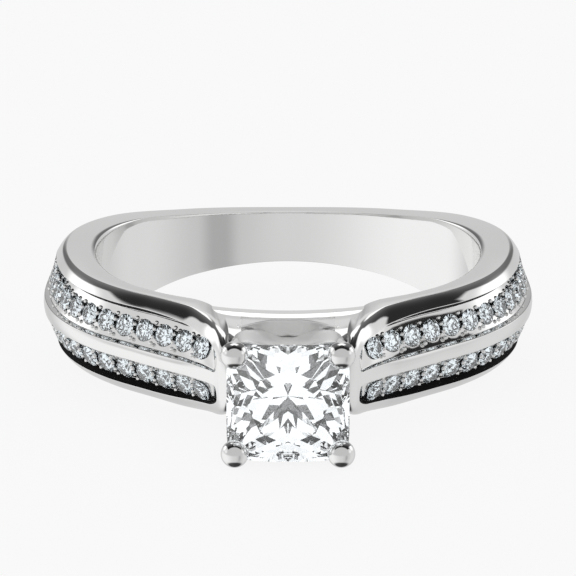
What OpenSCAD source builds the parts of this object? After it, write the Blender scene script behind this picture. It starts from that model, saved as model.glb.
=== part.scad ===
// A ring with a square main stone held high between two shoulders. Each shoulder has two sunk channels
// of small round stones. It lies on its side: the finger hole runs along Z and the main stone faces -Y.
// Plan angles are counted from the middle of the head, so 180 is the back of the band. "Drop" is how far
// a point lies below the middle rail's crest, towards the finger hole.

/* [Finger hole] */
// Diameter of the finger hole
hole_d = 16.5; // [15.5:0.1:18]
// Width of the small bevel at both rims of the finger hole
rim_bevel = 0.13; // [0.08:0.01:0.18]

/* [Band and shoulders] */
// Width of the band at the back
back_w = 2.3; // [2:0.1:3]
// Width of the shoulders
shoulder_w = 4.4; // [4.3:0.1:4.7]
// Thickness of the metal at the back
back_t = 1.45; // [1.3:0.05:1.8]
// Width of the polished rail between the two channels
rail_w = 0.6; // [0.5:0.02:0.64]
// Thickness of the bridge that closes the finger hole under the head
bridge_t = 0.85; // [0.7:0.05:1]

/* [Head] */
// Half width of the head where it stands on the bridge
foot_half = 1.15; // [1:0.05:1.3]
// Thickness of the head's wall
head_wall = 0.42; // [0.36:0.02:0.48]
// Diameter of a claw's ball tip
claw_d = 1.15; // [1:0.05:1.2]

/* [Main stone] */
// Side of the square main stone
stone_w = 5; // [4.8:0.05:5.2]
// Distance from the finger hole to the middle of the main stone's girdle
stone_rise = 5.85; // [5.7:0.05:6.1]
// Width of the table, as a share of the stone's width
table_share = 0.64; // [0.55:0.01:0.72]
// Height of the crown above the girdle
crown_h = 0.42; // [0.3:0.02:0.6]
// Thickness of the girdle
girdle_h = 0.12; // [0.06:0.02:0.2]
// Depth of the pavilion below the girdle
pavilion_h = 3; // [2.7:0.05:3.1]

/* [Side stones] */
// Diameter of a side stone
side_d = 0.94; // [0.8:0.02:0.96]
// Number of side stones in one channel
row_count = 13; // [5:1:13]

/* [Hidden] */

metal_color = [0.80, 0.80, 0.79];
stone_color = [0.90, 0.95, 0.97];

hole_r = hole_d / 2;
// How far the swept metal reaches into the finger hole before the hole is cut
hole_over = 0.4;
// Gap between a stone and the metal that holds it
seat_gap = 0.04;

// Band table, a row for each plan angle of a section's outer end
ANGLE = 0;
// Thickness of the metal under the middle rail, beyond that of the back
RISE = 1;
// Share of the way from the back's width to the shoulders' width
SPREAD = 2;
// Drop of the edge where the rounded top meets the flat side
EDGE_DROP = 3;
// Roundness of the top, as a superellipse's power
ROUND = 4;
band_rows = [
    [  8.6, 3.05, 0.85, 2.60, 1.55],
    [ 15.6, 1.72, 0.92, 1.65, 1.5],
    [ 25.0, 0.97, 1.06, 1.10, 1.4],
    [ 39.0, 0.64, 1.04, 1.00, 1.4],
    [ 52.0, 0.78, 1.01, 0.98, 1.4],
    [ 66.0, 0.92, 1.00, 0.95, 1.4],
    [ 85.0, 0.87, 1.02, 0.84, 1.5],
    [105.0, 0.68, 0.98, 0.70, 1.8],
    [125.0, 0.42, 0.72, 0.66, 1.8],
    [150.0, 0.12, 0.24, 0.68, 2.0],
    [180.0, 0.00, 0.00, 0.72, 2.0]
];

// Where the channels begin and close, and the length of their round ends, in plan degrees. The far end
// closes over a longer way on the rail's side.
channel_from = 14;
channel_to = 99.6;
near_cap = 2.6;
far_cap = 7;
far_cap_in = 10;
// Places across the half width of the section: the channel's outer lip, its floor and its middle
lip_at = 0.77;
lip_narrowing = 0.1;
narrow_until = 40;
narrow_over = 25;
floor_out_at = 0.6;
middle_at = 0.43;
floor_in_at = 0.17;
floor_depth = 0.55;
groove_depth = 0.34;

// How far a section's foot is turned from its outer end, at the head and fading out along the shoulder
lean_most = 14.2;
lean_until = 45;

// Head table, a row for each distance from the finger hole's axis
HEIGHT = 0;
// Half width across the flats, as a share of the way from the foot to the main stone
FLARE = 1;
// How far the four corners bulge, as a share of the half width
LOBE = 2;
head_rows = [
    [ 8.7, 0.00, 0.50],
    [ 9.6, 0.12, 0.52],
    [11.2, 0.42, 0.45],
    [12.6, 0.68, 0.36],
    [13.4, 0.82, 0.31]
];
head_low = head_rows[0][HEIGHT];
head_high = head_rows[len(head_rows) - 1][HEIGHT];
cup_floor = 10;
cup_over = 0.2;
head_steps = 8;
head_sides = 48;
claw_sides = 16;

function at_angle(a, r) = [r * sin(a), -r * cos(a)];
function clamped(x) = min(1, max(0, x));
function cap_round(t) = sqrt(1 - pow(1 - clamped(t), 2));

// A value from a table's column, eased between its rows
function row_before(rows, key, i = 0) =
    i == len(rows) - 2 || key <= rows[i + 1][0] ? i : row_before(rows, key, i + 1);
function slope_at(rows, column, i) =
    i == 0 || i == len(rows) - 1 ? 0
    : (rows[i + 1][column] - rows[i - 1][column]) / (rows[i + 1][0] - rows[i - 1][0]);
function eased(rows, column, key) =
    let (i = row_before(rows, key),
         span = rows[i + 1][0] - rows[i][0],
         t = clamped((key - rows[i][0]) / span),
         s = 1 - t)
    rows[i][column] * s * s * (1 + 2 * t) + rows[i + 1][column] * t * t * (3 - 2 * t)
    + span * t * s * (slope_at(rows, column, i) * s - slope_at(rows, column, i + 1) * t);

function crest_r(a) = hole_r + back_t + eased(band_rows, RISE, a);
function half_w(a) = (back_w + (shoulder_w - back_w) * eased(band_rows, SPREAD, a)) / 2;
function lean(a) = lean_most * pow(clamped((lean_until - a) / (lean_until - band_rows[0][ANGLE])), 2);

// Drop of the rounded top at a share x of the half width
function dome(a, x) =
    let (p = eased(band_rows, ROUND, a))
    eased(band_rows, EDGE_DROP, a) * (1 - pow(1 - pow(x, p), 1 / p));

// The channel: how wide and how deep it is at a plan angle, from 0 to 1
function channel_width(a, cap) =
    max(0.05, cap_round((a - channel_from) / near_cap) * cap_round((channel_to - a) / cap));
function channel_depth(a) =
    clamped((a - channel_from) / (0.3 * near_cap)) * clamped((channel_to - a) / (0.3 * far_cap));
function lip_share(a) = lip_at - lip_narrowing * clamped((narrow_until - a) / narrow_over);
function in_channel(a, x) =
    middle_at + (x - middle_at) * channel_width(a, x < middle_at ? far_cap_in : far_cap);

// Half of a shoulder's section from the finger hole's rim to the crest, as [radius, z]
function top_point(a, x, sunk) = [crest_r(a) - dome(a, x) - sunk, half_w(a) * x];
function shoulder_half(a) =
    let (w = half_w(a),
         depth = channel_depth(a),
         lip = in_channel(a, lip_share(a)),
         rail = rail_w / shoulder_w)
    [
        [hole_r - hole_over, w - rim_bevel - hole_over],
        [hole_r + rim_bevel, w],
        top_point(a, 1, 0),
        top_point(a, 0.985, 0),
        top_point(a, 0.93, 0),
        top_point(a, (0.93 + lip) / 2, 0),
        top_point(a, lip, 0),
        top_point(a, in_channel(a, floor_out_at), floor_depth * depth),
        top_point(a, middle_at, (floor_depth + groove_depth) * depth),
        top_point(a, in_channel(a, floor_in_at), floor_depth * depth),
        top_point(a, in_channel(a, rail), 0),
        top_point(a, 0, 0)
    ];

// Half of the bridge's section: a thin flat side, a narrow step and the outer face
step_in = 0.37;
step_down = 0.05;
step_w = 0.33;
shoulder_from = band_rows[0][ANGLE];
function bridge_half() =
    let (w = half_w(shoulder_from),
         outer = hole_r + bridge_t)
    [
        [hole_r - hole_over, w - rim_bevel - hole_over],
        [hole_r + rim_bevel, w],
        [hole_r + step_in, w],
        [hole_r + step_in + step_down / 2, w - step_down],
        [hole_r + step_in + step_w, w - step_down * 1.2],
        [outer - 0.05, w - 0.2],
        [outer, w - 0.45],
        [outer, w * floor_out_at],
        [outer, w * middle_at],
        [outer, w * floor_in_at],
        [outer, w * 0.1],
        [outer, 0]
    ];

// A section stands on the line from its foot to its outer end, seen in plan
function section(foot_angle, end_angle, end_r, half) =
    let (foot_r = hole_r - hole_over,
         foot = at_angle(foot_angle, foot_r),
         end = at_angle(end_angle, end_r),
         mirrored = [for (i = [len(half) - 2:-1:0]) [half[i][0], -half[i][1]]])
    [for (p = concat(half, mirrored))
        let (t = (p[0] - foot_r) / (end_r - foot_r))
        [foot[0] + (end[0] - foot[0]) * t, foot[1] + (end[1] - foot[1]) * t, p[1]]];
function shoulder_section(a) = section(a + lean(a), a, crest_r(a), shoulder_half(a));
function bridge_section(a) = section(a, a, hole_r + bridge_t, bridge_half());
// The bridge's last section lies against the shoulder's end
end_wall_lean = 0.6;
function bridge_end() =
    section(shoulder_from + lean_most - end_wall_lean, shoulder_from - end_wall_lean,
            crest_r(shoulder_from), bridge_half());

bridge_angles = [4.5, 9, 13.5];
shoulder_angles = concat(
    [8.6, 11, 13.2, channel_from],
    [for (t = [0.03, 0.1, 0.3, 0.6]) channel_from + near_cap * t],
    [for (i = [0:20]) 18 + 3.5 * i],
    [for (t = [0.7, 0.4, 0.25, 0.1, 0.02]) channel_to - far_cap * t],
    [for (i = [0:12]) channel_to + i * 6.3]
);

function mirrored_section(s) = [for (p = s) [-p[0], p[1], p[2]]];
function reversed(list) = [for (i = [len(list) - 1:-1:0]) list[i]];
function band_sections() =
    let (one_side = concat([for (a = bridge_angles) bridge_section(a)],
                           [bridge_end()],
                           [for (a = shoulder_angles) shoulder_section(a)]))
    concat([bridge_section(0)], one_side, [shoulder_section(180)],
           reversed([for (s = one_side) mirrored_section(s)]));

// Closes a list of equal rings of points, round and round
module ring_loft(sections) {
    n = len(sections);
    m = len(sections[0]);
    points = [for (s = sections) each s];
    faces = [for (i = [0:n - 1], j = [0:m - 1])
        let (a = i * m + j,
             b = i * m + (j + 1) % m,
             c = ((i + 1) % n) * m + (j + 1) % m,
             d = ((i + 1) % n) * m + j)
        each [[a, c, b], [a, d, c]]];
    polyhedron(points, faces);
}

// Joins a list of equal rings of points and closes both ends with a fan round their middles
function middle_of(ring) = [for (k = [0:2]) sum_of([for (p = ring) p[k]]) / len(ring)];
function sum_of(list) = list * [for (x = list) 1];
module open_loft(sections) {
    n = len(sections);
    m = len(sections[0]);
    points = concat([for (s = sections) each s],
                    [middle_of(sections[0]), middle_of(sections[n - 1])]);
    sides = [for (i = [0:n - 2], j = [0:m - 1])
        let (a = i * m + j,
             b = i * m + (j + 1) % m,
             c = (i + 1) * m + (j + 1) % m,
             d = (i + 1) * m + j)
        each [[a, b, c], [a, c, d]]];
    near_end = [for (j = [0:m - 1]) [(j + 1) % m, j, n * m]];
    far_end = [for (j = [0:m - 1]) [(n - 1) * m + j, (n - 1) * m + (j + 1) % m, n * m + 1]];
    polyhedron(points, concat(sides, near_end, far_end));
}

// The head: a cup with four bulged corners that widens towards the main stone
stone_y = -(hole_r + stone_rise);
head_shift = stone_rise - 5.85 + hole_r - 8.25;
function head_outline(h, inset) =
    let (half = foot_half + (stone_w / 2 - foot_half) * eased(head_rows, FLARE, h) - inset,
         lobe = eased(head_rows, LOBE, h))
    [for (j = [0:head_sides - 1])
        let (turn = -360 * j / head_sides,
             r = half * (1 + lobe * (1 - cos(4 * turn)) / 2))
        [r * cos(turn), -h - head_shift, r * sin(turn)]];
module cup(low, high, inset) {
    open_loft([for (i = [0:head_steps])
        head_outline(low + (high - low) * i / head_steps, inset)]);
}

// A claw: a round stem that bows outwards up a corner of the head, with a ball tip over the main stone's corner
claw_foot = [1.3, -8.85 - head_shift, 1.15];
claw_tip = [stone_w * 0.435, stone_y - 0.15, stone_w * 0.425];
claw_bow = 0.1;
stem_r = claw_d * 0.38;
stem_steps = 4;
ball_low = -35;
ball_high = 84;
ball_steps = 6;
function claw_ring(center, r) =
    [for (j = [0:claw_sides - 1])
        let (turn = -360 * j / claw_sides)
        center + [r * cos(turn), 0, r * sin(turn)]];
module claw() {
    r = claw_d / 2;
    stem_end = claw_tip - [0, r * sin(ball_low), 0];
    open_loft(concat(
        [for (i = [0:stem_steps - 1])
            let (t = i / stem_steps,
                 out = 4 * claw_bow * t * (1 - t))
            claw_ring(claw_foot + (stem_end - claw_foot) * t + [out, 0, out], stem_r)],
        [for (i = [0:ball_steps])
            let (turn = ball_low + (ball_high - ball_low) * i / ball_steps)
            claw_ring(claw_tip - [0, r * sin(turn), 0], r * cos(turn))]));
}

// The main stone: a square table, a stepped crown, a thin girdle and a pavilion of folded facets
culet_share = 0.03;
fold_share = 0.62;
fold_depth = 0.4;
function square_ring(half, y, middle = 1) =
    [for (k = [0:7])
        let (turn = -45 * k,
             r = k % 2 == 0 ? half * middle : half * sqrt(2))
        [r * cos(turn), y, r * sin(turn)]];
module princess(grow) {
    half = stone_w / 2 + grow;
    girdle_low = stone_y + girdle_h / 2 + grow;
    girdle_high = stone_y - girdle_h / 2 - grow;
    open_loft([
        square_ring(half * culet_share, girdle_low + pavilion_h),
        square_ring(half * fold_share, girdle_low + pavilion_h * fold_depth, 0.94),
        square_ring(half, girdle_low),
        square_ring(half, girdle_high),
        square_ring(half * (1 + table_share) / 2, girdle_high - crown_h * 0.62, 1.02),
        square_ring(half * table_share, girdle_high - crown_h)
    ]);
}

// A side stone: a table, a crown of triangles, a thin girdle and a pavilion that ends in a point
side_table = 0.56;
side_crown = 0.15;
side_girdle = 0.03;
side_pavilion = 0.4;
function round_ring(count, r, z, turn) =
    [for (k = [0:count - 1]) [r * cos(turn + 360 * k / count), r * sin(turn + 360 * k / count), z]];
module brilliant(d) {
    r = d / 2;
    points = concat(round_ring(8, r * side_table, side_crown * d, 0),
                    round_ring(16, r, 0, 0),
                    round_ring(16, r, -side_girdle * d, 0),
                    [[0, 0, -side_pavilion * d]]);
    table = [[for (k = [0:7]) k]];
    crown = [for (k = [0:7])
        let (t = k,
             t2 = (k + 1) % 8,
             g = 8 + 2 * k,
             g1 = g + 1,
             g2 = 8 + (2 * k + 2) % 16)
        each [[t, g, g1], [t, g1, t2], [t2, g1, g2]]];
    girdle = [for (k = [0:15])
        let (a = 8 + k,
             b = 8 + (k + 1) % 16)
        each [[a, a + 16, b + 16], [a, b + 16, b]]];
    pavilion = [for (k = [0:15]) [24 + k, 40, 24 + (k + 1) % 16]];
    polyhedron(points, [for (f = concat(table, crown, girdle, pavilion)) reversed(f)]);
}

// The middle of a channel at the height of the stones' girdles, on the right shoulder's upper side
girdle_drop = 0.27;
girdle_tilt = 20;
function on_section(a, r, z) =
    let (foot_r = hole_r - hole_over,
         foot = at_angle(a + lean(a), foot_r),
         end = at_angle(a, crest_r(a)),
         t = (r - foot_r) / (crest_r(a) - foot_r))
    [foot[0] + (end[0] - foot[0]) * t, foot[1] + (end[1] - foot[1]) * t, z];
function seat(a) =
    let (p = top_point(a, middle_at, girdle_drop))
    on_section(a, p[0], p[1]);

// Stones stand at equal steps along the channel's middle line
first_seat = 18.3;
last_seat = 94.4;
line_steps = 60;
line_angles = [for (i = [0:line_steps]) first_seat + (last_seat - first_seat) * i / line_steps];
line_runs = [for (i = [0:line_steps - 1]) norm(seat(line_angles[i + 1]) - seat(line_angles[i]))];
function run_to(i) = i == 0 ? 0 : line_runs[i - 1] + run_to(i - 1);
angle_by_run = [for (i = [0:line_steps]) [run_to(i), line_angles[i]]];
seat_angles = [for (k = [0:row_count - 1])
    lookup(run_to(line_steps) * (row_count == 1 ? 0 : k / (row_count - 1)), angle_by_run)];

module right_upper_row(d) {
    for (a = seat_angles) {
        along = seat(a + 0.5) - seat(a - 0.5);
        heading = atan2(along[1], along[0]);
        translate(seat(a)) rotate([0, 0, heading]) rotate([90 - girdle_tilt, 0, 0]) brilliant(d);
    }
}

module four_claws() {
    for (sx = [0, 1], sz = [0, 1])
        mirror([sx, 0, 0]) mirror([0, 0, sz]) claw();
}

// A small pointed notch through the head where it stands on the bridge
notch_w = 1.1;
notch_h = 0.75;
module notch() {
    foot_y = -hole_r - bridge_t;
    linear_extrude(shoulder_w, center = true)
        polygon([[-notch_w / 2, foot_y], [notch_w / 2, foot_y], [0, foot_y - notch_h]]);
}

module ring_metal() color(metal_color) difference() {
    union() {
        ring_loft(band_sections());
        cup(head_low, head_high, 0);
        four_claws();
    }
    cylinder(r = hole_r, h = 2 * shoulder_w, center = true, $fn = 128);
    cup(cup_floor, head_high + cup_over, head_wall);
    princess(seat_gap);
    notch();
}

module center_stone() color(stone_color) princess(0);
module right_upper_stones() color(stone_color) right_upper_row(side_d);
module right_lower_stones() color(stone_color) mirror([0, 0, 1]) right_upper_row(side_d);
module left_upper_stones() color(stone_color) mirror([1, 0, 0]) right_upper_row(side_d);
module left_lower_stones() color(stone_color) mirror([1, 0, 0]) mirror([0, 0, 1]) right_upper_row(side_d);

ring_metal();
center_stone();
left_upper_stones();
left_lower_stones();
right_upper_stones();
right_lower_stones();
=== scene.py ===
"""A ring that lies on its side: polished metal, a square main stone and four rows of round side stones.

Lengths are in millimetres and in the part's own frame. They become metres where a mesh is made.
"""
import math

import bmesh
import bpy
import numpy as np
from mathutils import Matrix, Vector


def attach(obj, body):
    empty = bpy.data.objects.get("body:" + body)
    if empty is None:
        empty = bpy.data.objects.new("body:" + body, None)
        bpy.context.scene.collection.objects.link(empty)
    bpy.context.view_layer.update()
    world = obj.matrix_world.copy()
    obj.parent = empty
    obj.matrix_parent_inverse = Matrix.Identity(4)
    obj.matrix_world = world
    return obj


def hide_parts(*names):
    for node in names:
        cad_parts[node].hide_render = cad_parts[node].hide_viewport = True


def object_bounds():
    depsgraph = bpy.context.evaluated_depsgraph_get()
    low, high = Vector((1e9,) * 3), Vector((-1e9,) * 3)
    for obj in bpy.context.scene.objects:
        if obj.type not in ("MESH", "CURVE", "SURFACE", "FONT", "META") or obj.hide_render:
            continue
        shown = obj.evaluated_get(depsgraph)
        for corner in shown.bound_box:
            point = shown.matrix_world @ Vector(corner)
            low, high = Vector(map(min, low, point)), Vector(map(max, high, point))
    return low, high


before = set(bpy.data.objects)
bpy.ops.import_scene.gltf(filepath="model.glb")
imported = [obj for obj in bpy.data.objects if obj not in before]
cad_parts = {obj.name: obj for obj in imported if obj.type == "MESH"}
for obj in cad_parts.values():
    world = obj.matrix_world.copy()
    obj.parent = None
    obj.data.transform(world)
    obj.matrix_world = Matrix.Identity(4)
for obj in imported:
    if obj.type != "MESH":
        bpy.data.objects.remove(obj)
cad_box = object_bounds()

MM = 0.001
BODY = "root"

# Sizes of the ring, as in the part's source, but for a slightly smaller foot of the head and claw
HOLE_R = 8.25
BACK_W = 2.3
SHOULDER_W = 4.4
BACK_T = 1.45
RAIL_W = 0.6
BRIDGE_T = 0.85
FOOT_HALF = 1.12
HEAD_WALL = 0.42
CLAW_D = 1.143
STONE_W = 5.0
STONE_Y = -14.1
GIRDLE_H = 0.12
SIDE_D = 0.94
ROW_COUNT = 13
HOLE_OVER = 0.4

# Band table: plan angle of a section's outer end, rise of the crest over the back's thickness, share
# of the way from the back's width to the shoulders', drop of the top's edge, power of the top's curve
BAND = np.array([
    [8.6, 3.05, 0.76, 2.70, 2.2],
    [13.0, 2.31, 0.84, 2.30, 2.1],
    [15.6, 1.80, 0.91, 1.98, 1.9],
    [18.5, 1.42, 0.97, 1.68, 1.6],
    [25.0, 0.97, 1.05, 1.48, 1.32],
    [39.0, 0.64, 1.04, 1.36, 1.3],
    [52.0, 0.78, 1.01, 1.30, 1.35],
    [66.0, 0.92, 1.00, 1.22, 1.4],
    [85.0, 0.87, 1.02, 1.05, 1.5],
    [105.0, 0.68, 0.98, 0.85, 1.8],
    [125.0, 0.42, 0.72, 0.70, 1.8],
    [150.0, 0.12, 0.24, 0.68, 2.0],
    [180.0, 0.00, 0.00, 0.72, 2.0],
])
RISE, SPREAD, EDGE_DROP, ROUND = 1, 2, 3, 4
BAND_FROM = BAND[0][0]

# Channels: plan angles where they begin and close, and how far their outer and inner edges take to
# reach full width there
CHANNEL_FROM, CHANNEL_TO = 14.5, 99.6
NEAR_CAP, NEAR_CAP_IN = 3.0, 1.0
FAR_CAP, FAR_CAP_IN = 7.0, 10.0
LEAST_WIDTH = 0.05
# Shares of an outer cap over which the floor goes down to its full depth
NEAR_SLOPE, FAR_SLOPE = 0.16, 0.12
# Places across the half width of the band's section, and the floor's depths there
LIP_AT, LIP_NARROWING, LIP_FROM, LIP_SPAN = 0.79, 0.15, 40, 25
FLOOR_OUT_AT, MIDDLE_AT, FLOOR_IN_AT = 0.68, 0.43, 0.155
OUT_DEPTH, MIDDLE_DEPTH, IN_DEPTH = 0.50, 0.392, 0.24
# Share of the floor on each side of the middle that is rough and painted dark between the stones, as
# painted shade
SHADED_FLOOR_SHARE = 0.38
# Plan angles of the first and last stone of a row
FIRST_SEAT, LAST_SEAT = 19.1, 94.4

# Lean of the sections towards the head, and the plan angles where it ends
LEAN_MOST, LEAN_UNTIL = 14.2, 45.0
LEAN_LESS, LESS_UNTIL = 8.2, 12.0
# The shoulder's end rounds over towards the head between these plan angles
END_FROM, END_TO, END_FALL = 14.4, 10.2, 0.85
# Radius of the rim round the finger hole, and the plan angles between which it changes
RIM_HEAD, RIM_SIDE, RIM_BACK = 0.10, 0.34, 0.015
RIM_GROWS, RIM_SHRINKS = (20, 60), (100, 130)
FLAT_BEFORE_RIM = 0.25
# Points along the rim, the dome and a rounded corner, and how much of a crisp corner is cut
RIM_STEPS, DOME_STEPS, CORNER_STEPS = 6, 30, 4
CRISP = 0.03
# Edges that turn more than this stay sharp
CREASE = math.radians(38)
# Material places of the band's faces. The wall and drilled places take dark colours of painted shade.
POLISHED, WALL, DRILLED_AND_SHADED = 0, 1, 2

# Head table: distance from the finger hole's axis, share of the way from foot to stone, bulge of the
# corners
HEAD = np.array([
    [8.7, 0.00, 0.62],
    [9.6, 0.12, 0.68],
    [11.2, 0.42, 0.70],
    [12.6, 0.68, 0.54],
    [13.4, 0.82, 0.42],
])
FLARE, LOBE = 1, 2


# Band shape
def clamped(x):
    return min(1.0, max(0.0, x))


def smooth(t):
    t = clamped(t)
    return t * t * (3 - 2 * t)


def eased(rows, column, key):
    """A value from a table's column, eased between its rows."""
    i = int(np.clip(np.searchsorted(rows[:, 0], key) - 1, 0, len(rows) - 2))
    low, high = rows[i], rows[i + 1]
    span = high[0] - low[0]
    t = clamped((key - low[0]) / span)
    s = 1 - t

    def slope(k):
        if k == 0 or k == len(rows) - 1:
            return 0.0
        return (rows[k + 1][column] - rows[k - 1][column]) / (rows[k + 1][0] - rows[k - 1][0])

    return (low[column] * s * s * (1 + 2 * t) + high[column] * t * t * (3 - 2 * t)
            + span * t * s * (slope(i) * s - slope(i + 1) * t))


def at_angle(a, r):
    a = math.radians(a)
    return np.array([r * math.sin(a), -r * math.cos(a)])


def cap_round(t):
    return math.sqrt(1 - (1 - clamped(t)) ** 2)


def crest_r(a):
    return HOLE_R + BACK_T + eased(BAND, RISE, a)


def half_w(a):
    return (BACK_W + (SHOULDER_W - BACK_W) * eased(BAND, SPREAD, a)) / 2


def lean(a):
    most = LEAN_MOST * clamped((LEAN_UNTIL - a) / (LEAN_UNTIL - BAND_FROM)) ** 2
    return most - LEAN_LESS * clamped((LESS_UNTIL - a) / (LESS_UNTIL - BAND_FROM)) ** 2


def dome(a, x):
    p = eased(BAND, ROUND, a)
    return eased(BAND, EDGE_DROP, a) * (1 - (1 - min(x, 1.0) ** p) ** (1 / p))


def channel_width(a, near_cap, far_cap):
    near, far = cap_round((a - CHANNEL_FROM) / near_cap), cap_round((CHANNEL_TO - a) / far_cap)
    return max(LEAST_WIDTH, near * far)


def channel_depth(a):
    near = clamped((a - CHANNEL_FROM) / (NEAR_SLOPE * NEAR_CAP))
    far = clamped((CHANNEL_TO - a) / (FAR_SLOPE * FAR_CAP))
    return min(near, far)


def lip_share(a):
    return LIP_AT - LIP_NARROWING * clamped((LIP_FROM - a) / LIP_SPAN) ** 2


def in_channel(a, x):
    caps = (NEAR_CAP_IN, FAR_CAP_IN) if x < MIDDLE_AT else (NEAR_CAP, FAR_CAP)
    return MIDDLE_AT + (x - MIDDLE_AT) * channel_width(a, *caps)


def end_fall(a):
    return END_FALL * (1 - cap_round(1 - clamped((END_FROM - a) / (END_FROM - END_TO))))


def rim_r(a):
    (grow, grown), (shrink, shrunk) = RIM_GROWS, RIM_SHRINKS
    rim = RIM_HEAD + (RIM_SIDE - RIM_HEAD) * clamped((a - grow) / (grown - grow))
    return rim + (RIM_BACK - RIM_SIDE) * clamped((a - shrink) / (shrunk - shrink))


def top_point(a, x, sunk):
    """A point of the top as (r, z): a share x of the half width out, and sunk below the dome."""
    return (crest_r(a) - end_fall(a) - dome(a, x) - sunk, half_w(a) * x)


def between(start, end, share):
    return start[0] + (end[0] - start[0]) * share, start[1] + (end[1] - start[1]) * share


def rounded(corners):
    """A path through corners (r, z, cut). With a cut, a corner becomes a short curve."""
    places = [np.array(c[:2]) for c in corners]
    path = []
    for i, (r, z, cut) in enumerate(corners):
        if not cut:
            path.append(places[i])
            continue
        back, ahead = places[i - 1] - places[i], places[i + 1] - places[i]
        lengths = [max(1e-6, float(np.hypot(*v))) for v in (back, ahead)]
        reach = min(cut, 0.45 * min(lengths))
        start = places[i] + back / lengths[0] * reach
        end = places[i] + ahead / lengths[1] * reach
        for k in range(CORNER_STEPS + 1):
            t = k / CORNER_STEPS
            path.append(start * (1 - t) ** 2 + places[i] * 2 * t * (1 - t) + end * t * t)
    return path


def shoulder_half(a):
    """Half of the band's section, from the middle of the hole's wall to the crest, as (r, z)."""
    w, depth, lip, rim = half_w(a), channel_depth(a), in_channel(a, lip_share(a)), rim_r(a)
    rail = in_channel(a, RAIL_W / SHOULDER_W)
    corners = [(HOLE_R, 0, 0), (HOLE_R, w * 0.4, 0), (HOLE_R, w - rim - FLAT_BEFORE_RIM, 0)]
    for k in range(RIM_STEPS + 1):
        turn = math.radians(90 * k / RIM_STEPS)
        corners.append((HOLE_R + rim * (1 - math.cos(turn)), w - rim * (1 - math.sin(turn)), 0))
    corners.append(((HOLE_R + rim + top_point(a, 1, 0)[0]) / 2, w, 0))
    # The steps of the dome are closer together at its edge
    p = eased(BAND, ROUND, a)
    turn_lip = math.asin(lip ** (p / 2))
    for k in range(DOME_STEPS):
        turn = math.pi / 2 + (turn_lip - math.pi / 2) * k / DOME_STEPS
        corners.append((*top_point(a, math.sin(turn) ** (2 / p), 0), 0))
    floor_out = top_point(a, in_channel(a, FLOOR_OUT_AT), OUT_DEPTH * depth)
    middle = top_point(a, in_channel(a, MIDDLE_AT), MIDDLE_DEPTH * depth)
    floor_in = top_point(a, in_channel(a, FLOOR_IN_AT), IN_DEPTH * depth)
    corners += [
        (*top_point(a, lip, 0), CRISP),
        (*floor_out, CRISP),
        (*between(middle, floor_out, SHADED_FLOOR_SHARE), 0),
        (*middle, 0),
        (*between(middle, floor_in, SHADED_FLOOR_SHARE), 0),
        (*floor_in, CRISP),
        (*top_point(a, rail, 0), CRISP),
        (*top_point(a, rail * 0.5, 0), 0),
        (*top_point(a, 0, 0), 0),
    ]
    return rounded(corners)


def section(foot_angle, end_angle, end_r, half):
    """A whole section in space: it stands on the line from its foot to its outer end, seen in plan."""
    foot_r = HOLE_R - HOLE_OVER
    foot, end = at_angle(foot_angle, foot_r), at_angle(end_angle, end_r)
    whole = [(p[0], p[1]) for p in half] + [(p[0], -p[1]) for p in half[-2:0:-1]]
    out = []
    for r, z in whole:
        t = (r - foot_r) / (end_r - foot_r)
        x, y = foot + (end - foot) * t
        near = math.hypot(x, y)
        if r <= HOLE_R + 1e-6:
            x, y = x / near * HOLE_R, y / near * HOLE_R
        out.append((x, y, z))
    return out


def mirrored(sections):
    return [[(-x, y, z) for x, y, z in s] for s in sections]


# Mesh helpers
def new_mesh(name, points, faces, soft=True, marks=()):
    mesh = bpy.data.meshes.new(name)
    mesh.from_pydata([tuple(c * MM for c in p) for p in points], [], faces)
    for poly, mark in zip(mesh.polygons, marks):
        poly.material_index = mark
    mesh.update()
    bm = bmesh.new()
    bm.from_mesh(mesh)
    bmesh.ops.recalc_face_normals(bm, faces=bm.faces)
    bm.to_mesh(mesh)
    bm.free()
    for poly in mesh.polygons:
        poly.use_smooth = soft
    if soft:
        mesh.set_sharp_from_angle(angle=CREASE)
    return mesh


def loft_data(sections):
    """Points and faces of a skin over equal rings, with a fan round the middle at both ends."""
    n, m = len(sections), len(sections[0])
    points = [p for s in sections for p in s]
    faces = []
    for i in range(n - 1):
        for j in range(m):
            ahead = (j + 1) % m
            faces.append((i * m + j, i * m + ahead, (i + 1) * m + ahead, (i + 1) * m + j))
    for i in (0, n - 1):
        points.append(tuple(np.mean(sections[i], axis=0)))
        for j in range(m):
            faces.append((i * m + j, i * m + (j + 1) % m, len(points) - 1))
    return points, faces


def joined(*parts):
    points, faces = [], []
    for more_points, more_faces in parts:
        start = len(points)
        points += more_points
        faces += [tuple(start + k for k in f) for f in more_faces]
    return points, faces


def new_object(name, mesh):
    obj = bpy.data.objects.new(name, mesh)
    bpy.context.scene.collection.objects.link(obj)
    return obj


def plain_mesh(obj):
    """The object's mesh with its modifiers worked in, for good."""
    bpy.context.view_layer.update()
    mesh = bpy.data.meshes.new_from_object(obj.evaluated_get(bpy.context.evaluated_depsgraph_get()))
    obj.modifiers.clear()
    obj.data = mesh
    return mesh


def cut_away(obj, *cutters):
    """Cuts the cutters out of an object for good, and keeps its edges crisp."""
    for cutter in cutters:
        cut = obj.modifiers.new("cut", "BOOLEAN")
        cut.object, cut.operation, cut.solver = cutter, "DIFFERENCE", "MANIFOLD"
    plain_mesh(obj).set_sharp_from_angle(angle=CREASE)


# Band and shoulders
# Numbers of sections before the channels, where they begin, where they close, and behind them
BEFORE, BEGINNING, CLOSING, BEHIND = 40, 18, 20, 56
# Gaps in degrees before and behind the channels, and the last section before the back
GAP_BEFORE, GAP_BEHIND, LAST_SECTION = 0.1, 0.6, 179


def closer(start, end, count):
    """Angles from start to end, closer together near the start."""
    return [start + (end - start) * (k / count) ** 2 for k in range(count)]


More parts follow.
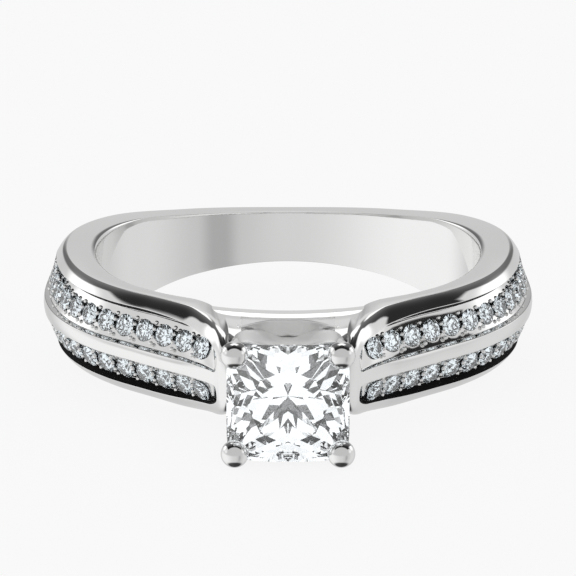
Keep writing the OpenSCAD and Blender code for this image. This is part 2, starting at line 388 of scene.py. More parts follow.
def band_angles():
    """Plan angles of one side's sections, closer together where the channels begin and close."""
    near_full, far_full = CHANNEL_FROM + NEAR_CAP, CHANNEL_TO - FAR_CAP
    return [*np.linspace(BAND_FROM, CHANNEL_FROM - GAP_BEFORE, BEFORE),
            *closer(CHANNEL_FROM, near_full, BEGINNING),
            *np.arange(near_full, far_full, 1.0),
            *closer(CHANNEL_TO, far_full, CLOSING)[::-1],
            *np.linspace(CHANNEL_TO + GAP_BEHIND, LAST_SECTION, BEHIND)]


def band_sections():
    one_side = [section(a + lean(a), a, crest_r(a), shoulder_half(a)) for a in band_angles()]
    back = section(180, 180, crest_r(180), shoulder_half(180))
    return one_side + [back] + mirrored(one_side[::-1])


def band_marks():
    """Material places of the band's faces, in the order in which the skin over its sections has them."""
    angles = band_angles()
    count = len(band_sections()[0])
    # A section's points, from the middle of the hole's wall to the lip and over both floor corners
    lip_place = 3 + (RIM_STEPS + 1) + 1 + DOME_STEPS
    floor_place = lip_place + CORNER_STEPS + 1
    shaded_floor_place = floor_place + CORNER_STEPS + 1
    # The outer walls and the floor round the middle between the stones take painted shade
    marks = {floor_place + k: WALL for k in (-2, -1, 0)} | {shaded_floor_place + k: DRILLED_AND_SHADED for k in (0, 1)}
    marks |= {count - 1 - k: mark for k, mark in marks.items()}
    begins = {WALL: CHANNEL_FROM, DRILLED_AND_SHADED: FIRST_SEAT}
    return [marks[j] if j in marks and begins[marks[j]] < a < CHANNEL_TO else POLISHED
            for a in angles + [180] + angles[::-1] for j in range(count)]


# Bridge under the head: half width, plan angle of its ends, and steps between them
BRIDGE_HALF_W, BRIDGE_TURN, BRIDGE_STEPS = 2.06, 27, 108
# Bevel of its inner edge and how much of that is cut round, height of its side below its outer face,
# and insets of that side's top and of the face
BRIDGE_EDGE, BRIDGE_EDGE_CUT = 0.06, 0.05
SIDE_LOWER, SIDE_IN, FACE_IN = 0.04, 0.165, 0.2
# Ledge and crease on the bridge's side: height over the hole's wall, and inset from the side
LEDGE = ((0.47, 0), (0.48, 0.035), (0.50, 0.012), (0.73, 0.11), (0.74, 0.18))
# Fill between the bridge and the shoulder's end: plan angles where it grows and where it ends, its
# thickness, and the power of its growth
FILL_FROM, FILL_TO, FILL_END, FILL_OUT, FILL_POWER = 3.0, 11.5, 14.5, 1.1, 1.8
# Beside the shoulder's own wall the bridge stays a little behind it
BEHIND_WALL, BEHIND_FROM, BEHIND_TO = 0.03, 14.3, 16.0


def bridge_outer(a):
    fill = clamped((abs(a) - FILL_FROM) / (FILL_TO - FILL_FROM)) ** FILL_POWER
    fill *= 1 - smooth((abs(a) - FILL_TO) / (FILL_END - FILL_TO))
    return HOLE_R + BRIDGE_T + FILL_OUT * fill


def bridge_half(a):
    w, outer = BRIDGE_HALF_W, bridge_outer(a)
    inner = HOLE_R + BEHIND_WALL * smooth((abs(a) - BEHIND_FROM) / (BEHIND_TO - BEHIND_FROM))
    return rounded([
        (inner, 0, 0), (inner, w * 0.5, 0),
        (inner, w - BRIDGE_EDGE, BRIDGE_EDGE_CUT), (inner + BRIDGE_EDGE, w, BRIDGE_EDGE_CUT),
        *[(HOLE_R + rise, w - inset, 0) for rise, inset in LEDGE],
        (outer - SIDE_LOWER, w - SIDE_IN, 0), (outer, w - FACE_IN, CRISP),
        (outer, w * 0.4, 0), (outer, 0, 0)])


def bridge_sections():
    return [section(a, a, HOLE_R + BRIDGE_T, bridge_half(a))
            for a in np.linspace(-BRIDGE_TURN, BRIDGE_TURN, BRIDGE_STEPS + 1)]


# Head
HEAD_SIDES, HEAD_STEPS = 128, 30
HEAD_LOW, HEAD_HIGH, CUP_FROM = 8.7, 13.45, 9.6
# Where its outside and its inside end below the top
OUTSIDE_LOWER, INSIDE_LOWER = 0.05, 0.04
# Rounding of the rim between them: drop below the top, and inset
HEAD_RIM = ((0.015, 0.02), (0, 0.06), (0, 0.14))
# The wall thins by this much between this height and the top
RIM_THINNING, THINS_FROM = 0.2, 12.4
NOTCH_W, NOTCH_H, NOTCH_BELOW = 1.0, 0.16, 0.02


def head_outline(h, inset):
    half = FOOT_HALF + (STONE_W / 2 - FOOT_HALF) * eased(HEAD, FLARE, h)
    lobe = eased(HEAD, LOBE, h)
    ring = []
    for j in range(HEAD_SIDES):
        turn = 2 * math.pi * j / HEAD_SIDES
        r = half * (1 + lobe * ((1 - math.cos(4 * turn)) / 2) ** 2) - inset
        ring.append((r * math.cos(turn), -h, r * math.sin(turn)))
    return ring


def cup_inset(h):
    return HEAD_WALL - RIM_THINNING * clamped((h - THINS_FROM) / (HEAD_HIGH - THINS_FROM))


def head_sections():
    outer = [head_outline(h, 0) for h in np.linspace(HEAD_LOW, HEAD_HIGH - OUTSIDE_LOWER, HEAD_STEPS)]
    rim = [head_outline(HEAD_HIGH - drop, inset) for drop, inset in HEAD_RIM]
    inner = [head_outline(h, cup_inset(h))
             for h in np.linspace(HEAD_HIGH - INSIDE_LOWER, CUP_FROM, HEAD_STEPS)]
    return outer + rim + inner


def notch_data():
    """A three-sided bar through the head where it stands on the bridge."""
    foot_y = -(HOLE_R + BRIDGE_T)
    corners = ((-NOTCH_W / 2, foot_y + NOTCH_BELOW), (NOTCH_W / 2, foot_y + NOTCH_BELOW),
               (0, foot_y - NOTCH_H))
    return loft_data([[(x, y, z) for x, y in corners] for z in (-SHOULDER_W, SHOULDER_W)])


# Claws
CLAW_FOOT = np.array([1.15, -8.85, 1.05])
CLAW_TIP = np.array([STONE_W * 0.435, STONE_Y - 0.15, STONE_W * 0.425])
CLAW_BOW = 0.1
STEM_R = CLAW_D * 0.38
CLAW_SIDES, STEM_STEPS, BALL_STEPS = 40, 10, 16
# Angles on the ball where the stem meets it, and where its top is closed
NECK, BALL_TOP = math.radians(52), math.pi / 2 - 0.03


def claw_sections(side_x, side_z):
    """A round stem up a corner of the head with a ball over the stone's corner."""
    flip = np.array([side_x, 1, side_z])
    r = CLAW_D / 2
    stem_top = CLAW_TIP + [0, r * math.sin(NECK), 0]
    rings = []
    for k in range(STEM_STEPS + 1):
        t = k / STEM_STEPS
        bow = 4 * CLAW_BOW * t * (1 - t)
        rings.append((CLAW_FOOT + (stem_top - CLAW_FOOT) * t + [bow, 0, bow],
                      STEM_R + (r * math.cos(NECK) - STEM_R) * t ** 3))
    for k in range(1, BALL_STEPS + 1):
        turn = -NECK + (BALL_TOP + NECK) * k / BALL_STEPS
        rings.append((CLAW_TIP + [0, -r * math.sin(turn), 0], r * math.cos(turn)))
    sides = np.linspace(0, 2 * math.pi, CLAW_SIDES, endpoint=False)
    return [[tuple((center + radius * np.array([math.cos(u), 0, math.sin(u)])) * flip) for u in sides]
            for center, radius in rings]


# Cut stones: how near a point is still on a plane, and how near two corners are one
ON_PLANE, SAME_CORNER = 1e-5, 2e-4


def cut_stone(planes, reach):
    """A convex stone cut from a block by planes of an azimuth, a slope from the girdle and a distance."""
    bm = bmesh.new()
    bmesh.ops.create_cube(bm, size=2 * reach)
    for azimuth, slope, distance in planes:
        a, s = math.radians(azimuth), math.radians(slope)
        normal = Vector((math.cos(a) * math.sin(s), math.sin(a) * math.sin(s), math.cos(s)))
        cut = bmesh.ops.bisect_plane(bm, geom=bm.verts[:] + bm.edges[:] + bm.faces[:], dist=ON_PLANE,
                                     plane_co=normal * distance, plane_no=normal, clear_outer=True)
        edges = [e for e in cut["geom_cut"] if isinstance(e, bmesh.types.BMEdge)]
        if edges:
            bmesh.ops.contextual_create(bm, geom=edges)
    bmesh.ops.remove_doubles(bm, verts=bm.verts, dist=SAME_CORNER)
    bmesh.ops.dissolve_degenerate(bm, edges=bm.edges, dist=ON_PLANE)
    bmesh.ops.recalc_face_normals(bm, faces=bm.faces)
    return bm


def facet(azimuth, slope, point_azimuth, radius, height):
    """A plane with that azimuth and slope through a point of that azimuth, radius and height."""
    s, turn = math.radians(slope), math.radians(azimuth - point_azimuth)
    return azimuth, slope, radius * math.cos(turn) * math.sin(s) + height * math.cos(s)


PAVILION_H, CROWN_H, TABLE_SHARE = 3.0, 0.42, 0.64
# Insets from the square's corner: of the cut, of the crown's corner facet, and of the pavilion's edge
CORNER_CUT, CORNER_FACET_IN, CORNER_EDGE_IN = 0.12, 0.14, 0.1
# Crown's facets: the outer ones are steeper and the inner ones flatter than the crown's own slope.
# The inner ones are turned, and pass through a point out of the table's edge and below it.
OUTER_STEEPER, INNER_FLATTER, INNER_TURN, INNER_OUT, INNER_BELOW = 9, 3, 24, 0.16, 0.05
CORNER_SLOPE, GIRDLE_SLOPE = 22, 64
FIRST_TURN = 36
# Pavilion's pairs of facets after the first: turn from the side's middle, slope, radius of the fold
PAVILION = ((29, 43.3, 0.6), (22, 45.4, 1.05), (15.5, 48.2, 1.42), (9.5, 51.8, 1.75), (4, 56.5, 2.02))
# The stone's seat is larger by this much all round
SEAT_GAP = 0.03


def pavilion_pairs(corner, low):
    """Turn and slope of each pair of facets, with the radius and height where it folds from the last."""
    first_run = (corner - CORNER_EDGE_IN) * math.cos(math.radians(45 - FIRST_TURN))
    first_slope = math.degrees(math.atan2(PAVILION_H, first_run))
    pairs = [(FIRST_TURN, first_slope, 0.0, low - PAVILION_H)]
    for turn, slope, fold_r in PAVILION:
        last_turn, last_slope, last_r, last_h = pairs[-1]
        run = (fold_r - last_r) * math.cos(math.radians(last_turn))
        pairs.append((turn, slope, fold_r, last_h + run * math.tan(math.radians(last_slope))))
    return pairs


def main_stone_planes():
    """A square cut: table, two-step crown with cut corners, and a pavilion of folded facet pairs."""
    half, low, high = STONE_W / 2, -GIRDLE_H / 2, GIRDLE_H / 2
    corner = half * math.sqrt(2)
    crown_slope = math.degrees(math.atan2(CROWN_H, half * (1 - TABLE_SHARE)))
    planes = []
    for az in (0, 90, 180, 270):
        planes += [(az, 90, half), (az + 45, 90, corner - CORNER_CUT)]
        planes.append(facet(az, crown_slope + OUTER_STEEPER, az, half, high))
        for off in (-INNER_TURN, INNER_TURN):
            planes.append(facet(az + off, crown_slope - INNER_FLATTER, az,
                                half * TABLE_SHARE + INNER_OUT, high + CROWN_H - INNER_BELOW))
        planes.append(facet(az + 45, CORNER_SLOPE, az + 45, corner - CORNER_FACET_IN, high))
        for turn, slope, fold_r, fold_h in pavilion_pairs(corner, low):
            for sign in (-1, 1):
                planes.append(facet(az + sign * turn, 180 - slope, az, fold_r, fold_h))
        planes.append(facet(az, 180 - GIRDLE_SLOPE, az, half, low))
    planes.append((0, 0, high + CROWN_H))
    return planes


# Side stone's cut, for a stone one wide
SIDE_TABLE, SIDE_CROWN, SIDE_PAVILION, SIDE_GIRDLE = 0.56, 0.145, 0.42, 0.015
GIRDLE_SIDES = 32
# Slopes of its mains, stars and halves above the girdle, and of its mains and halves below
MAIN_ABOVE, STAR_ABOVE, HALF_ABOVE, MAIN_BELOW, HALF_BELOW = 34.5, 22, 42, 41, 42.6
# Shares of the radius where the facets meet the girdle, and of the table's where the stars meet it
EDGE_SHARE, STAR_SHARE = 0.985, 0.94


def side_stone_planes():
    """A round cut: table, 8 mains, 8 stars and 16 halves above, 8 mains and 16 halves below."""
    r, high, low = 0.5, SIDE_GIRDLE, -SIDE_GIRDLE
    edge = r * EDGE_SHARE
    planes = [(0, 0, high + SIDE_CROWN)]
    for k in range(GIRDLE_SIDES):
        planes.append((k * 360 / GIRDLE_SIDES, 90, r * math.cos(math.radians(5.6))))
    for az in range(0, 360, 45):
        star = az + 22.5
        planes.append(facet(az, MAIN_ABOVE, az, edge, high))
        planes.append(facet(star, STAR_ABOVE, star, r * SIDE_TABLE * STAR_SHARE, high + SIDE_CROWN))
        planes.append(facet(az, 180 - MAIN_BELOW, az, 0, -SIDE_PAVILION))
        for half in (az + 11.25, az + 33.75):
            planes.append(facet(half, HALF_ABOVE, half, edge, high))
            planes.append(facet(half, 180 - HALF_BELOW, half, edge, low))
    return planes


# Half the side of the block that a stone is cut from
MAIN_BLOCK, SIDE_BLOCK = 4, 1


def stone_mesh(name, planes, reach, place=None):
    bm = cut_stone(planes, reach)
    if place is not None:
        bm.transform(place)
    bmesh.ops.triangulate(bm, faces=bm.faces)
    mesh = bpy.data.meshes.new(name)
    bm.transform(Matrix.Scale(MM, 4))
    bm.to_mesh(mesh)
    bm.free()
    return mesh


# Seats of the side stones
GIRDLE_DROP, GIRDLE_TILT = 0.27, 20
SEAT_SIDES = 28
# Steps in which a channel's middle line is measured
LINE_STEPS = 400
# A seat's cutter: height over the girdle and radius, in stone diameters
SEAT_CUTTER = ((0.30, 0.52), (0.05, 0.52), (-0.05, 0.50), (-0.44, 0.10), (-0.50, 0.03))
GRAIN_D = 0.19
# Grains in a gap between two stones: place across the half width, and drop
GRAIN_PLACES = ((0.60, 0.24), (0.50, 0.20), (0.37, 0.18), (0.26, 0.17))


def on_section(a, r, z):
    foot_r = HOLE_R - HOLE_OVER
    foot, end = at_angle(a + lean(a), foot_r), at_angle(a, crest_r(a))
    x, y = foot + (end - foot) * (r - foot_r) / (crest_r(a) - foot_r)
    return np.array([x, y, z])


def seat(a, across=MIDDLE_AT, drop=GIRDLE_DROP):
    return on_section(a, *top_point(a, across, drop))


def row_angles():
    """Plan angles of equal steps along the channel, at the stones and halfway between them."""
    fine = np.linspace(FIRST_SEAT, LAST_SEAT, LINE_STEPS)
    places = np.array([seat(a) for a in fine])
    runs = np.concatenate([[0], np.cumsum(np.linalg.norm(np.diff(places, axis=0), axis=1))])
    at = np.interp(np.linspace(0, runs[-1], 2 * ROW_COUNT - 1), runs, fine)
    return at[0::2], at[1::2]


def seat_turn(a):
    """A turn that stands a stone's axis across the channel and its side along it."""
    along = seat(a + 0.5) - seat(a - 0.5)
    heading = math.atan2(along[1], along[0])
    m = Matrix.Rotation(heading, 4, "Z") @ Matrix.Rotation(math.radians(90 - GIRDLE_TILT), 4, "X")
    return m.to_euler("XYZ")


def drilled_seats(seats):
    """Cutters for seats (place, turn): a short wall round each girdle and a cone below it."""
    sides = np.linspace(0, 2 * math.pi, SEAT_SIDES, endpoint=False)
    parts = []
    for place, turn in seats:
        m = Matrix.Translation(Vector(place)) @ turn.to_matrix().to_4x4()
        parts.append(loft_data([
            [tuple(m @ Vector((SIDE_D * r * math.cos(u), SIDE_D * r * math.sin(u), SIDE_D * h)))
             for u in sides] for h, r in SEAT_CUTTER]))
    return joined(*parts)


def setting_tree(name, inputs):
    """A node tree that sets copies of a piece on points, and the identifiers of its inputs.

    Each copy is turned as its point says and spun by the seed. inputs has a socket type for each name.
    """
    tree = bpy.data.node_groups.new(name, "GeometryNodeTree")
    face, nodes, link = tree.interface, tree.nodes, tree.links.new
    face.new_socket("Geometry", in_out="INPUT", socket_type="NodeSocketGeometry")
    face.new_socket("Geometry", in_out="OUTPUT", socket_type="NodeSocketGeometry")
    keys = {label: face.new_socket(label, in_out="INPUT", socket_type=kind).identifier
            for label, kind in inputs.items()}
    start, end = nodes.new("NodeGroupInput"), nodes.new("NodeGroupOutput")
    info = nodes.new("GeometryNodeObjectInfo")
    turn = nodes.new("GeometryNodeInputNamedAttribute")
    turn.data_type = "FLOAT_VECTOR"
    turn.inputs["Name"].default_value = "turn"
    stand = nodes.new("FunctionNodeEulerToRotation")
    spin = nodes.new("FunctionNodeRandomValue")
    spin.data_type = "FLOAT_VECTOR"
    spin.inputs[0].default_value = (0, 0, 0)
    spin.inputs[1].default_value = (0, 0, math.tau)
    spin_turn = nodes.new("FunctionNodeEulerToRotation")
    both = nodes.new("FunctionNodeRotateRotation")
    both.rotation_space = "LOCAL"
    place = nodes.new("GeometryNodeInstanceOnPoints")
    real = nodes.new("GeometryNodeRealizeInstances")
    paint = nodes.new("GeometryNodeSetMaterial")
    link(start.outputs["Piece"], info.inputs["Object"])
    link(start.outputs["Seed"], next(s for s in spin.inputs if s.name == "Seed"))
    link(turn.outputs["Attribute"], stand.inputs["Euler"])
    link(next(s for s in spin.outputs if s.enabled), spin_turn.inputs["Euler"])
    link(stand.outputs["Rotation"], both.inputs["Rotation"])
    link(spin_turn.outputs["Rotation"], both.inputs["Rotate By"])
    link(start.outputs["Geometry"], place.inputs["Points"])
    link(info.outputs["Geometry"], place.inputs["Instance"])
    link(both.outputs["Rotation"], place.inputs["Rotation"])
    link(start.outputs["Size"], place.inputs["Scale"])
    link(place.outputs["Instances"], real.inputs["Geometry"])
    link(real.outputs["Geometry"], paint.inputs["Geometry"])
    link(start.outputs["Finish"], paint.inputs["Material"])
    link(paint.outputs["Geometry"], end.inputs["Geometry"])
    return tree, keys


def placed_by_nodes(name, seats, turns, piece, size, seed, material):
    """Sets copies of a small piece on seats with a node tree, as one plain mesh."""
    mesh = bpy.data.meshes.new(name)
    mesh.from_pydata([tuple(c * MM for c in p) for p in seats], [], [])
    mesh.attributes.new("turn", "FLOAT_VECTOR", "POINT")
    for k, t in enumerate(turns):
        mesh.attributes["turn"].data[k].vector = tuple(t)
    obj = new_object(name, mesh)
    tree, keys = setting_tree(name + "_tree", {
        "Piece": "NodeSocketObject", "Size": "NodeSocketFloat", "Seed": "NodeSocketInt",
        "Finish": "NodeSocketMaterial"})
    modifier = obj.modifiers.new(name, "NODES")
    modifier.node_group = tree
    for label, value in (("Piece", piece), ("Size", size), ("Seed", seed), ("Finish", material)):
        modifier[keys[label]] = value
    plain_mesh(obj).name = name
    return obj


# Shader maths
class Value:
    """A node socket that takes part in Python arithmetic."""

    def __init__(self, maker, socket):
        self.maker, self.socket = maker, socket

    def __add__(self, other): return self.maker.maths("ADD", self, other)
    def __radd__(self, other): return self.maker.maths("ADD", self, other)
    def __sub__(self, other): return self.maker.maths("SUBTRACT", self, other)
    def __rsub__(self, other): return self.maker.maths("SUBTRACT", other, self)
    def __mul__(self, other): return self.maker.maths("MULTIPLY", self, other)
    def __rmul__(self, other): return self.maker.maths("MULTIPLY", self, other)
    def __truediv__(self, other): return self.maker.maths("DIVIDE", self, other)
    def __pow__(self, other): return self.maker.maths("POWER", self, other)
    def larger(self, other): return self.maker.maths("MAXIMUM", self, other)
    def smaller(self, other): return self.maker.maths("MINIMUM", self, other)

    def ramp(self, low, high, out_low=0.0, out_high=1.0):
        """Eases from one output to the other while the value goes from low to high."""
        return self.maker.node("ShaderNodeMapRange", {"interpolation_type": "SMOOTHSTEP"},
                               {"Value": self, "From Min": low, "From Max": high,
                                "To Min": out_low, "To Max": out_high})


class Maker:
    """Makes nodes in one tree."""

    def __init__(self, tree):
        self.tree = tree
        tree.nodes.clear()

    def node(self, kind, settings=None, values=None, output=0):
        made = self.tree.nodes.new(kind)
        for key, setting in (settings or {}).items():
            setattr(made, key, setting)
        pairs = values.items() if isinstance(values, dict) else enumerate(values or [])
        for key, value in pairs:
            socket = made.inputs[key]
            if isinstance(value, Value):
                self.tree.links.new(value.socket, socket)
            else:
                socket.default_value = value
        return Value(self, made.outputs[output]) if len(made.outputs) else None

    def maths(self, kind, *inputs):
        return self.node("ShaderNodeMath", {"operation": kind}, inputs)

    def noise(self, place, scale, detail):
        return self.node("ShaderNodeTexNoise", {}, {"Vector": place, "Scale": scale, "Detail": detail})

    def blend(self, factor, first, second):
        """A colour from the first one to the second."""
        return self.node("ShaderNodeMix", {"data_type": "RGBA"},
                         {"Factor": factor, 6: (*first, 1), 7: (*second, 1)}, output=2)

    def in_millimetres(self, scale=(1000, 1000, 1000)):
        place = self.node("ShaderNodeTexCoord", output="Object")
        return self.node("ShaderNodeMapping", {}, {"Vector": place, "Scale": scale})

    def finish(self, **values):
        """One shader for the whole surface. A value's name has _ for each space."""
        named = {key.replace("_", " "): value for key, value in values.items()}
        shader = self.node("ShaderNodeBsdfPrincipled", {}, named)
        self.node("ShaderNodeOutputMaterial", {}, {"Surface": shader})


def new_material(name):
    material = bpy.data.materials.new(name)
    material.use_nodes = True
    return material, Maker(material.node_tree)


# How rough the duller metal is, and over what height it changes
DULL_ROUGH, DULL_SOFT = 0.30, 0.03
# Fine polishing lines run round the ring, so they are close together along the hole
LINES = (2500, 2500, 22000)


def polished_metal(name, painted_light_gain=1.0, dull_below=None):
    """Polished metal. With a height it is duller up to that height on both sides of the middle plane."""
    material, m = new_material(name)
    place = m.in_millimetres()
    cloud, swirl = m.noise(place, 0.6, 3.0), m.noise(place, 9.0, 2.0)
    streak = m.noise(m.in_millimetres(LINES), 1.0, 2.0)
    # A gain over 1 makes the colour lighter: painted light
    colour = m.blend(cloud, (0.825 * painted_light_gain, 0.825 * painted_light_gain, 0.82 * painted_light_gain),
                     (0.845 * painted_light_gain, 0.845 * painted_light_gain, 0.842 * painted_light_gain))
    rough = 0.03 + swirl * 0.02 + streak * 0.015
    if dull_below is not None:
        z = m.node("ShaderNodeSeparateXYZ", {}, [place], output=2)
        rough = rough + m.maths("ABSOLUTE", z).ramp(dull_below - DULL_SOFT, dull_below, DULL_ROUGH, 0)
    bump = m.node("ShaderNodeBump", {}, {"Height": streak, "Strength": 0.012, "Distance": 0.00002})
    m.finish(Base_Color=colour, Roughness=rough, Metallic=1.0, Normal=bump)
    return material


# A dark material whose dark colour is painted shade
def painted_shade_metal(name, dark, light, rough, metallic):
    material, m = new_material(name)
    cloud = m.noise(m.in_millimetres(), 5.0, 2.0)
    m.finish(Base_Color=m.blend(cloud, (dark,) * 3, (light,) * 3), Roughness=rough, Metallic=metallic,
             Specular_IOR_Level=0.1)
    return material


def cut_glass(name, first, second, scale):
    material, m = new_material(name)
    cloud = m.noise(m.in_millimetres(), scale, 2.0)
    m.finish(Base_Color=m.blend(cloud, first, second), Roughness=0.0, IOR=2.42, Transmission_Weight=1.0)
    return material


def pale_floor():
    material, m = new_material("pale_floor")
    cloud = m.noise(m.in_millimetres((1, 1, 1)), 3.0, 1.0)
    m.finish(Base_Color=(0.06, 0.06, 0.06, 1), Roughness=1.0, Specular_IOR_Level=0.0,
             Emission_Color=m.blend(cloud, (0.885,) * 3, (0.89,) * 3), Emission_Strength=1.0)
    return material


metal = polished_metal("polished_white_metal")
# Head and bridge: the same metal with a lighter colour, as painted light
head_metal_painted_lighter = polished_metal("head_metal_painted_lighter", painted_light_gain=1.1, dull_below=SHOULDER_W)
bridge_metal_painted_lighter = polished_metal("bridge_metal_painted_lighter", painted_light_gain=1.14, dull_below=1.93)
# Painted shade: the channels' outer walls are near black
painted_shade_wall = painted_shade_metal("channel_wall_painted_shade", dark=0.003, light=0.008, rough=0.6, metallic=0.0)
# Seats and the floor between the stones: rough metal whose dark colour is painted shade
drilled_metal_painted_shade = painted_shade_metal("drilled_metal_painted_shade", dark=0.05, light=0.12, rough=0.55, metallic=1.0)
main_glass = cut_glass("main_stone_clear", (0.97, 0.985, 1.0), (0.99, 0.995, 1.0), scale=0.5)
side_glass = cut_glass("side_stones_clear", (0.70, 0.76, 0.80), (0.80, 0.85, 0.88), scale=1.5)


# Metal pieces and the main stone
def finish_piece(obj, material, slot, *nodes):
    if material is not None:
        obj.data.materials.clear()
        obj.data.materials.append(material)
    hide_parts(*nodes)
    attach(obj, BODY)
    return obj


band = new_object("polished_band", new_mesh("polished_band", *loft_data(band_sections()),
                                            marks=band_marks()))
bridge = new_object("bridge", new_mesh("bridge", *loft_data(bridge_sections())))
head = new_object("head_cup", new_mesh("head_cup", *loft_data(head_sections())))
claws = new_object("four_claws", new_mesh("four_claws", *joined(
    *[loft_data(claw_sections(sx, sz)) for sx in (1, -1) for sz in (1, -1)])))

# The main stone's own axes: its table faces -Y
stone_place = Matrix.Translation((0, STONE_Y, 0)) @ Matrix.Rotation(math.radians(90), 4, "X")
main_stone = new_object("main_stone", stone_mesh("main_stone", main_stone_planes(), MAIN_BLOCK,
                                                stone_place))
grown = [(a, s, d + SEAT_GAP) for a, s, d in main_stone_planes()]
stone_seat = new_object("stone_seat", stone_mesh("stone_seat", grown, MAIN_BLOCK, stone_place))
notch = new_object("notch", new_mesh("notch", *notch_data(), soft=False))
cut_away(head, stone_seat, notch)
cut_away(claws, stone_seat)
for spare in (stone_seat, notch):
    bpy.data.objects.remove(spare)


# Side stones, grains and drilled seats
def grain_mesh():
    bm = bmesh.new()
    bmesh.ops.create_icosphere(bm, subdivisions=2, radius=0.5 * MM)
    mesh = bpy.data.meshes.new("grain")
    bm.to_mesh(mesh)
    bm.free()
    for poly in mesh.polygons:
        poly.use_smooth = True
    return mesh


stones_at, grains_between = row_angles()
side_cut = new_object("side_cut", stone_mesh("side_cut", side_stone_planes(), SIDE_BLOCK))
grain = new_object("grain", grain_mesh())
FIRST_SEED, GRAIN_SEED = 7, 3

rows, grain_seats, all_seats = [], [], []
for side_x, side in ((-1, "left"), (1, "right")):
    for side_z, level in ((1, "upper"), (-1, "lower")):
        name = side + "_" + level + "_stones"
        flip = Matrix.Diagonal((side_x, 1, side_z, 1))
        # A stone that is mirrored once is mirrored back along its own side, so that it isn't inside out
        unflip = Matrix.Diagonal((side_x * side_z, 1, 1, 1))
        seats = [tuple(np.array(seat(a)) * (side_x, 1, side_z)) for a in stones_at]
        turns = [(flip @ seat_turn(a).to_matrix().to_4x4() @ unflip).to_euler("XYZ") for a in stones_at]
        all_seats += list(zip(seats, turns))
        row = placed_by_nodes(name + "_cut", seats, turns, side_cut, SIDE_D, FIRST_SEED + len(rows),
                              side_glass)
        rows.append((row, name))
        for a in grains_between:
            for across, drop in GRAIN_PLACES:
                grain_seats.append(tuple(seat(a, across, drop) * (side_x, 1, side_z)))
grains = placed_by_nodes("grains", grain_seats, [(0, 0, 0)] * len(grain_seats), grain, GRAIN_D,
                         GRAIN_SEED, metal)
# Every second seat is in a cutter of its own, so that no two cones of one cutter meet
seat_cutters = [new_object("seat_cutter", new_mesh("seat_cutter", *drilled_seats(all_seats[k::2])))
                for k in (0, 1)]
for obj in (band, *seat_cutters):
    for material in (metal, painted_shade_wall, drilled_metal_painted_shade):
        obj.data.materials.append(material)
# The seats' faces take the rough metal with painted shade
for cutter in seat_cutters:
    for poly in cutter.data.polygons:
        poly.material_index = DRILLED_AND_SHADED
cut_away(band, *seat_cutters)
for spare in (side_cut, grain, *seat_cutters):
    bpy.data.objects.remove(spare)

finish_piece(band, None, "polished_metal", "ring_metal")
for obj, finish in ((bridge, bridge_metal_painted_lighter), (head, head_metal_painted_lighter), (claws, metal)):
    finish_piece(obj, finish, "polished_metal", "ring_metal")
finish_piece(grains, None, "polished_metal", "ring_metal")
finish_piece(main_stone, main_glass, "main_stone", "center_stone")
for row, name in rows:
    finish_piece(row, None, "side_stones", name)

# Floor, in metres
FLOOR_REACH = 4.0
floor_z = cad_box[0].z
floor_mesh = bpy.data.meshes.new("floor")
floor_mesh.from_pydata([(x * FLOOR_REACH, y * FLOOR_REACH, floor_z)
                        for x, y in ((-1, -1), (1, -1), (1, 1), (-1, 1))], [], [(0, 1, 2, 3)])
floor = new_object("floor", floor_mesh)
floor_mesh.materials.append(pale_floor())
floor.visible_glossy = False
floor.visible_transmission = False

# Studio: a sky of soft lights and black panels. Its places are a turn from the camera's side to the
# back, without its side or with it, and a height. A ramp goes from one place to another, in degrees,
# and from one strength to another.
DEGREES = 180 / math.pi
world = bpy.data.worlds.new("studio")
bpy.context.scene.world = world
world.use_nodes = True
w = Maker(world.node_tree)
look = w.node("ShaderNodeTexCoord", output="Generated")
parts = w.node("ShaderNodeSeparateXYZ", {}, [look])
look_x, look_y, look_z = (Value(w, parts.socket.node.outputs[k]) for k in range(3))
turn_signed = w.maths("ARCTAN2", look_x, 0 - look_y) * DEGREES
turn = w.maths("ABSOLUTE", turn_signed)
height = w.maths("ARCSINE", look_z) * DEGREES


def patch(across, center, size, soft):
    """1 in the middle of a round patch of the sky, and 0 beyond its size. Soft is its edge's share."""
    far = ((across - center[0]) / size[0]) ** 2 + ((height - center[1]) / size[1]) ** 2
    return (far ** 0.5).ramp(1 - soft, 1, 1, 0)


# Light from below and from the sides of the camera, brighter on the left
low = turn_signed.ramp(-80, 0, 1.03, 0.75) - turn_signed.ramp(0, 38, 0, 0.12)
low = low + turn_signed.ramp(50, 95, 0, 0.17) - patch(turn_signed, (43, -18), (15, 40), 0.8) * 0.16
low = low + (0.68 - low) * turn.ramp(112, 150)
low = (low - height.ramp(-75, -30, 0.10, 0)) * height.ramp(-66, -50, 0.08, 1)
# Light from above: grey in front and behind, white from both sides and from the top at the back
high = 0.62 + turn.ramp(60, 100) * 0.16 - turn.ramp(130, 150) * height.ramp(17, 27, 0.12, -0.02)
level = low + (high - low) * height.ramp(-6, 8)
level = level + patch(turn, (122, 20), (24, 17), 0.6) * 0.62
level = level + patch(turn, (84, 18), (22, 15), 0.8) * 0.30
top_box = turn.ramp(143, 147) * height.ramp(45, 49)
level = level + (1.25 - level) * top_box
# Black arch from one side over the back to the other, with a crisp lower edge
arch_low = 38.5 - (turn - 115).larger(0) * 0.8
arch = (height - arch_low).ramp(-2.5, 1.5) * look_y.ramp(-0.29, -0.20) * (1 - turn.ramp(95, 150) * 0.22)
arch = arch * (1 - turn.ramp(158, 176)).smaller(1 - top_box)
# A black panel under the arch, on the right only
panel = turn_signed.ramp(66, 72) * turn_signed.ramp(96, 101, 1, 0)
panel = panel * (height + (turn - 77) * 0.45).ramp(38.8, 40.2) * height.ramp(40, 46, 1, 0)
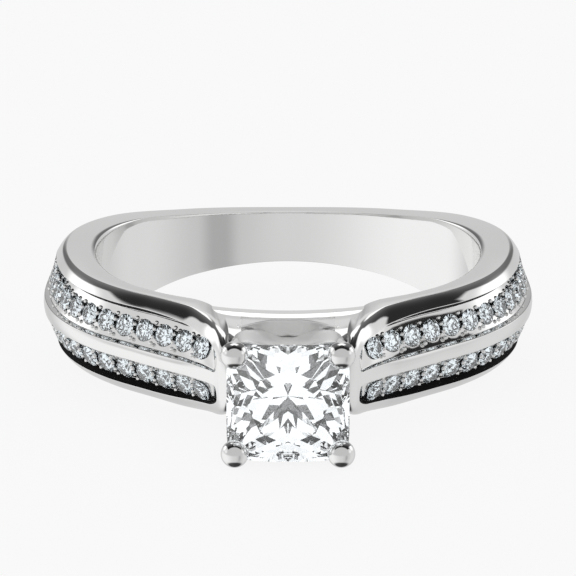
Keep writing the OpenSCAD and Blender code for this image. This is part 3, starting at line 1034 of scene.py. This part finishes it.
# The black goes over the top as well, in front of the white box at the back
crown = (look_y * 0.07 + look_z * 0.9976).ramp(0.952, 0.962)
metal_light = level * (1 - arch.larger(panel).larger(crown) * 0.965)
# Stones see a white tent with black stripes and with a dark patch round the camera
STRIPES = 17
camera_side = patch(turn_signed, (0, 20), (20, 17), 0.12)
stripes = w.maths("SINE", turn * (STRIPES / DEGREES)).ramp(0.66, 0.74)
stripes = stripes * height.ramp(-30, -26) * height.ramp(66, 70, 1, 0)
stone_light = 1.35 - camera_side.larger(stripes) * 1.27 - height.ramp(-60, -50, 1, 0) * 0.9


def glow(colour, strength):
    return w.node("ShaderNodeBackground", {}, {"Color": (*colour, 1), "Strength": strength})


through_stone = w.node("ShaderNodeLightPath", output="Is Transmission Ray")
on_matt = w.node("ShaderNodeLightPath", output="Is Diffuse Ray")
seen = w.node("ShaderNodeMixShader", {}, [through_stone, glow((1, 1, 1), metal_light),
                                          glow((0.97, 0.99, 1), stone_light)])
mixed = w.node("ShaderNodeMixShader", {}, [on_matt, seen, glow((1, 1, 1), 1.0)])
w.node("ShaderNodeOutputWorld", {}, {"Surface": mixed})

# Camera: its height over the ring's plane, its distance, and the picture's scale at the ring
CAMERA_UP, CAMERA_FAR = math.radians(18.3), 220
SENSOR_W, PICTURE_PX, PX_PER_MM, SHIFT_PX = 36, 576, 23.1, 6.6
camera_data = bpy.data.cameras.new("camera")
camera = new_object("camera", camera_data)
camera_data.sensor_width = SENSOR_W
camera_data.lens = SENSOR_W * CAMERA_FAR / (PICTURE_PX / PX_PER_MM)
camera_data.shift_y = SHIFT_PX / PICTURE_PX
camera_data.clip_start, camera_data.clip_end = 0.01, 20
camera.location = (0, -CAMERA_FAR * MM * math.cos(CAMERA_UP), CAMERA_FAR * MM * math.sin(CAMERA_UP))
camera.rotation_euler = (math.radians(90) - CAMERA_UP, 0, 0)
scene = bpy.context.scene
scene.camera = camera
scene.view_settings.view_transform = "Standard"
scene.cycles.glossy_bounces = 12
scene.cycles.transmission_bounces = 16
scene.cycles.max_bounces = 24
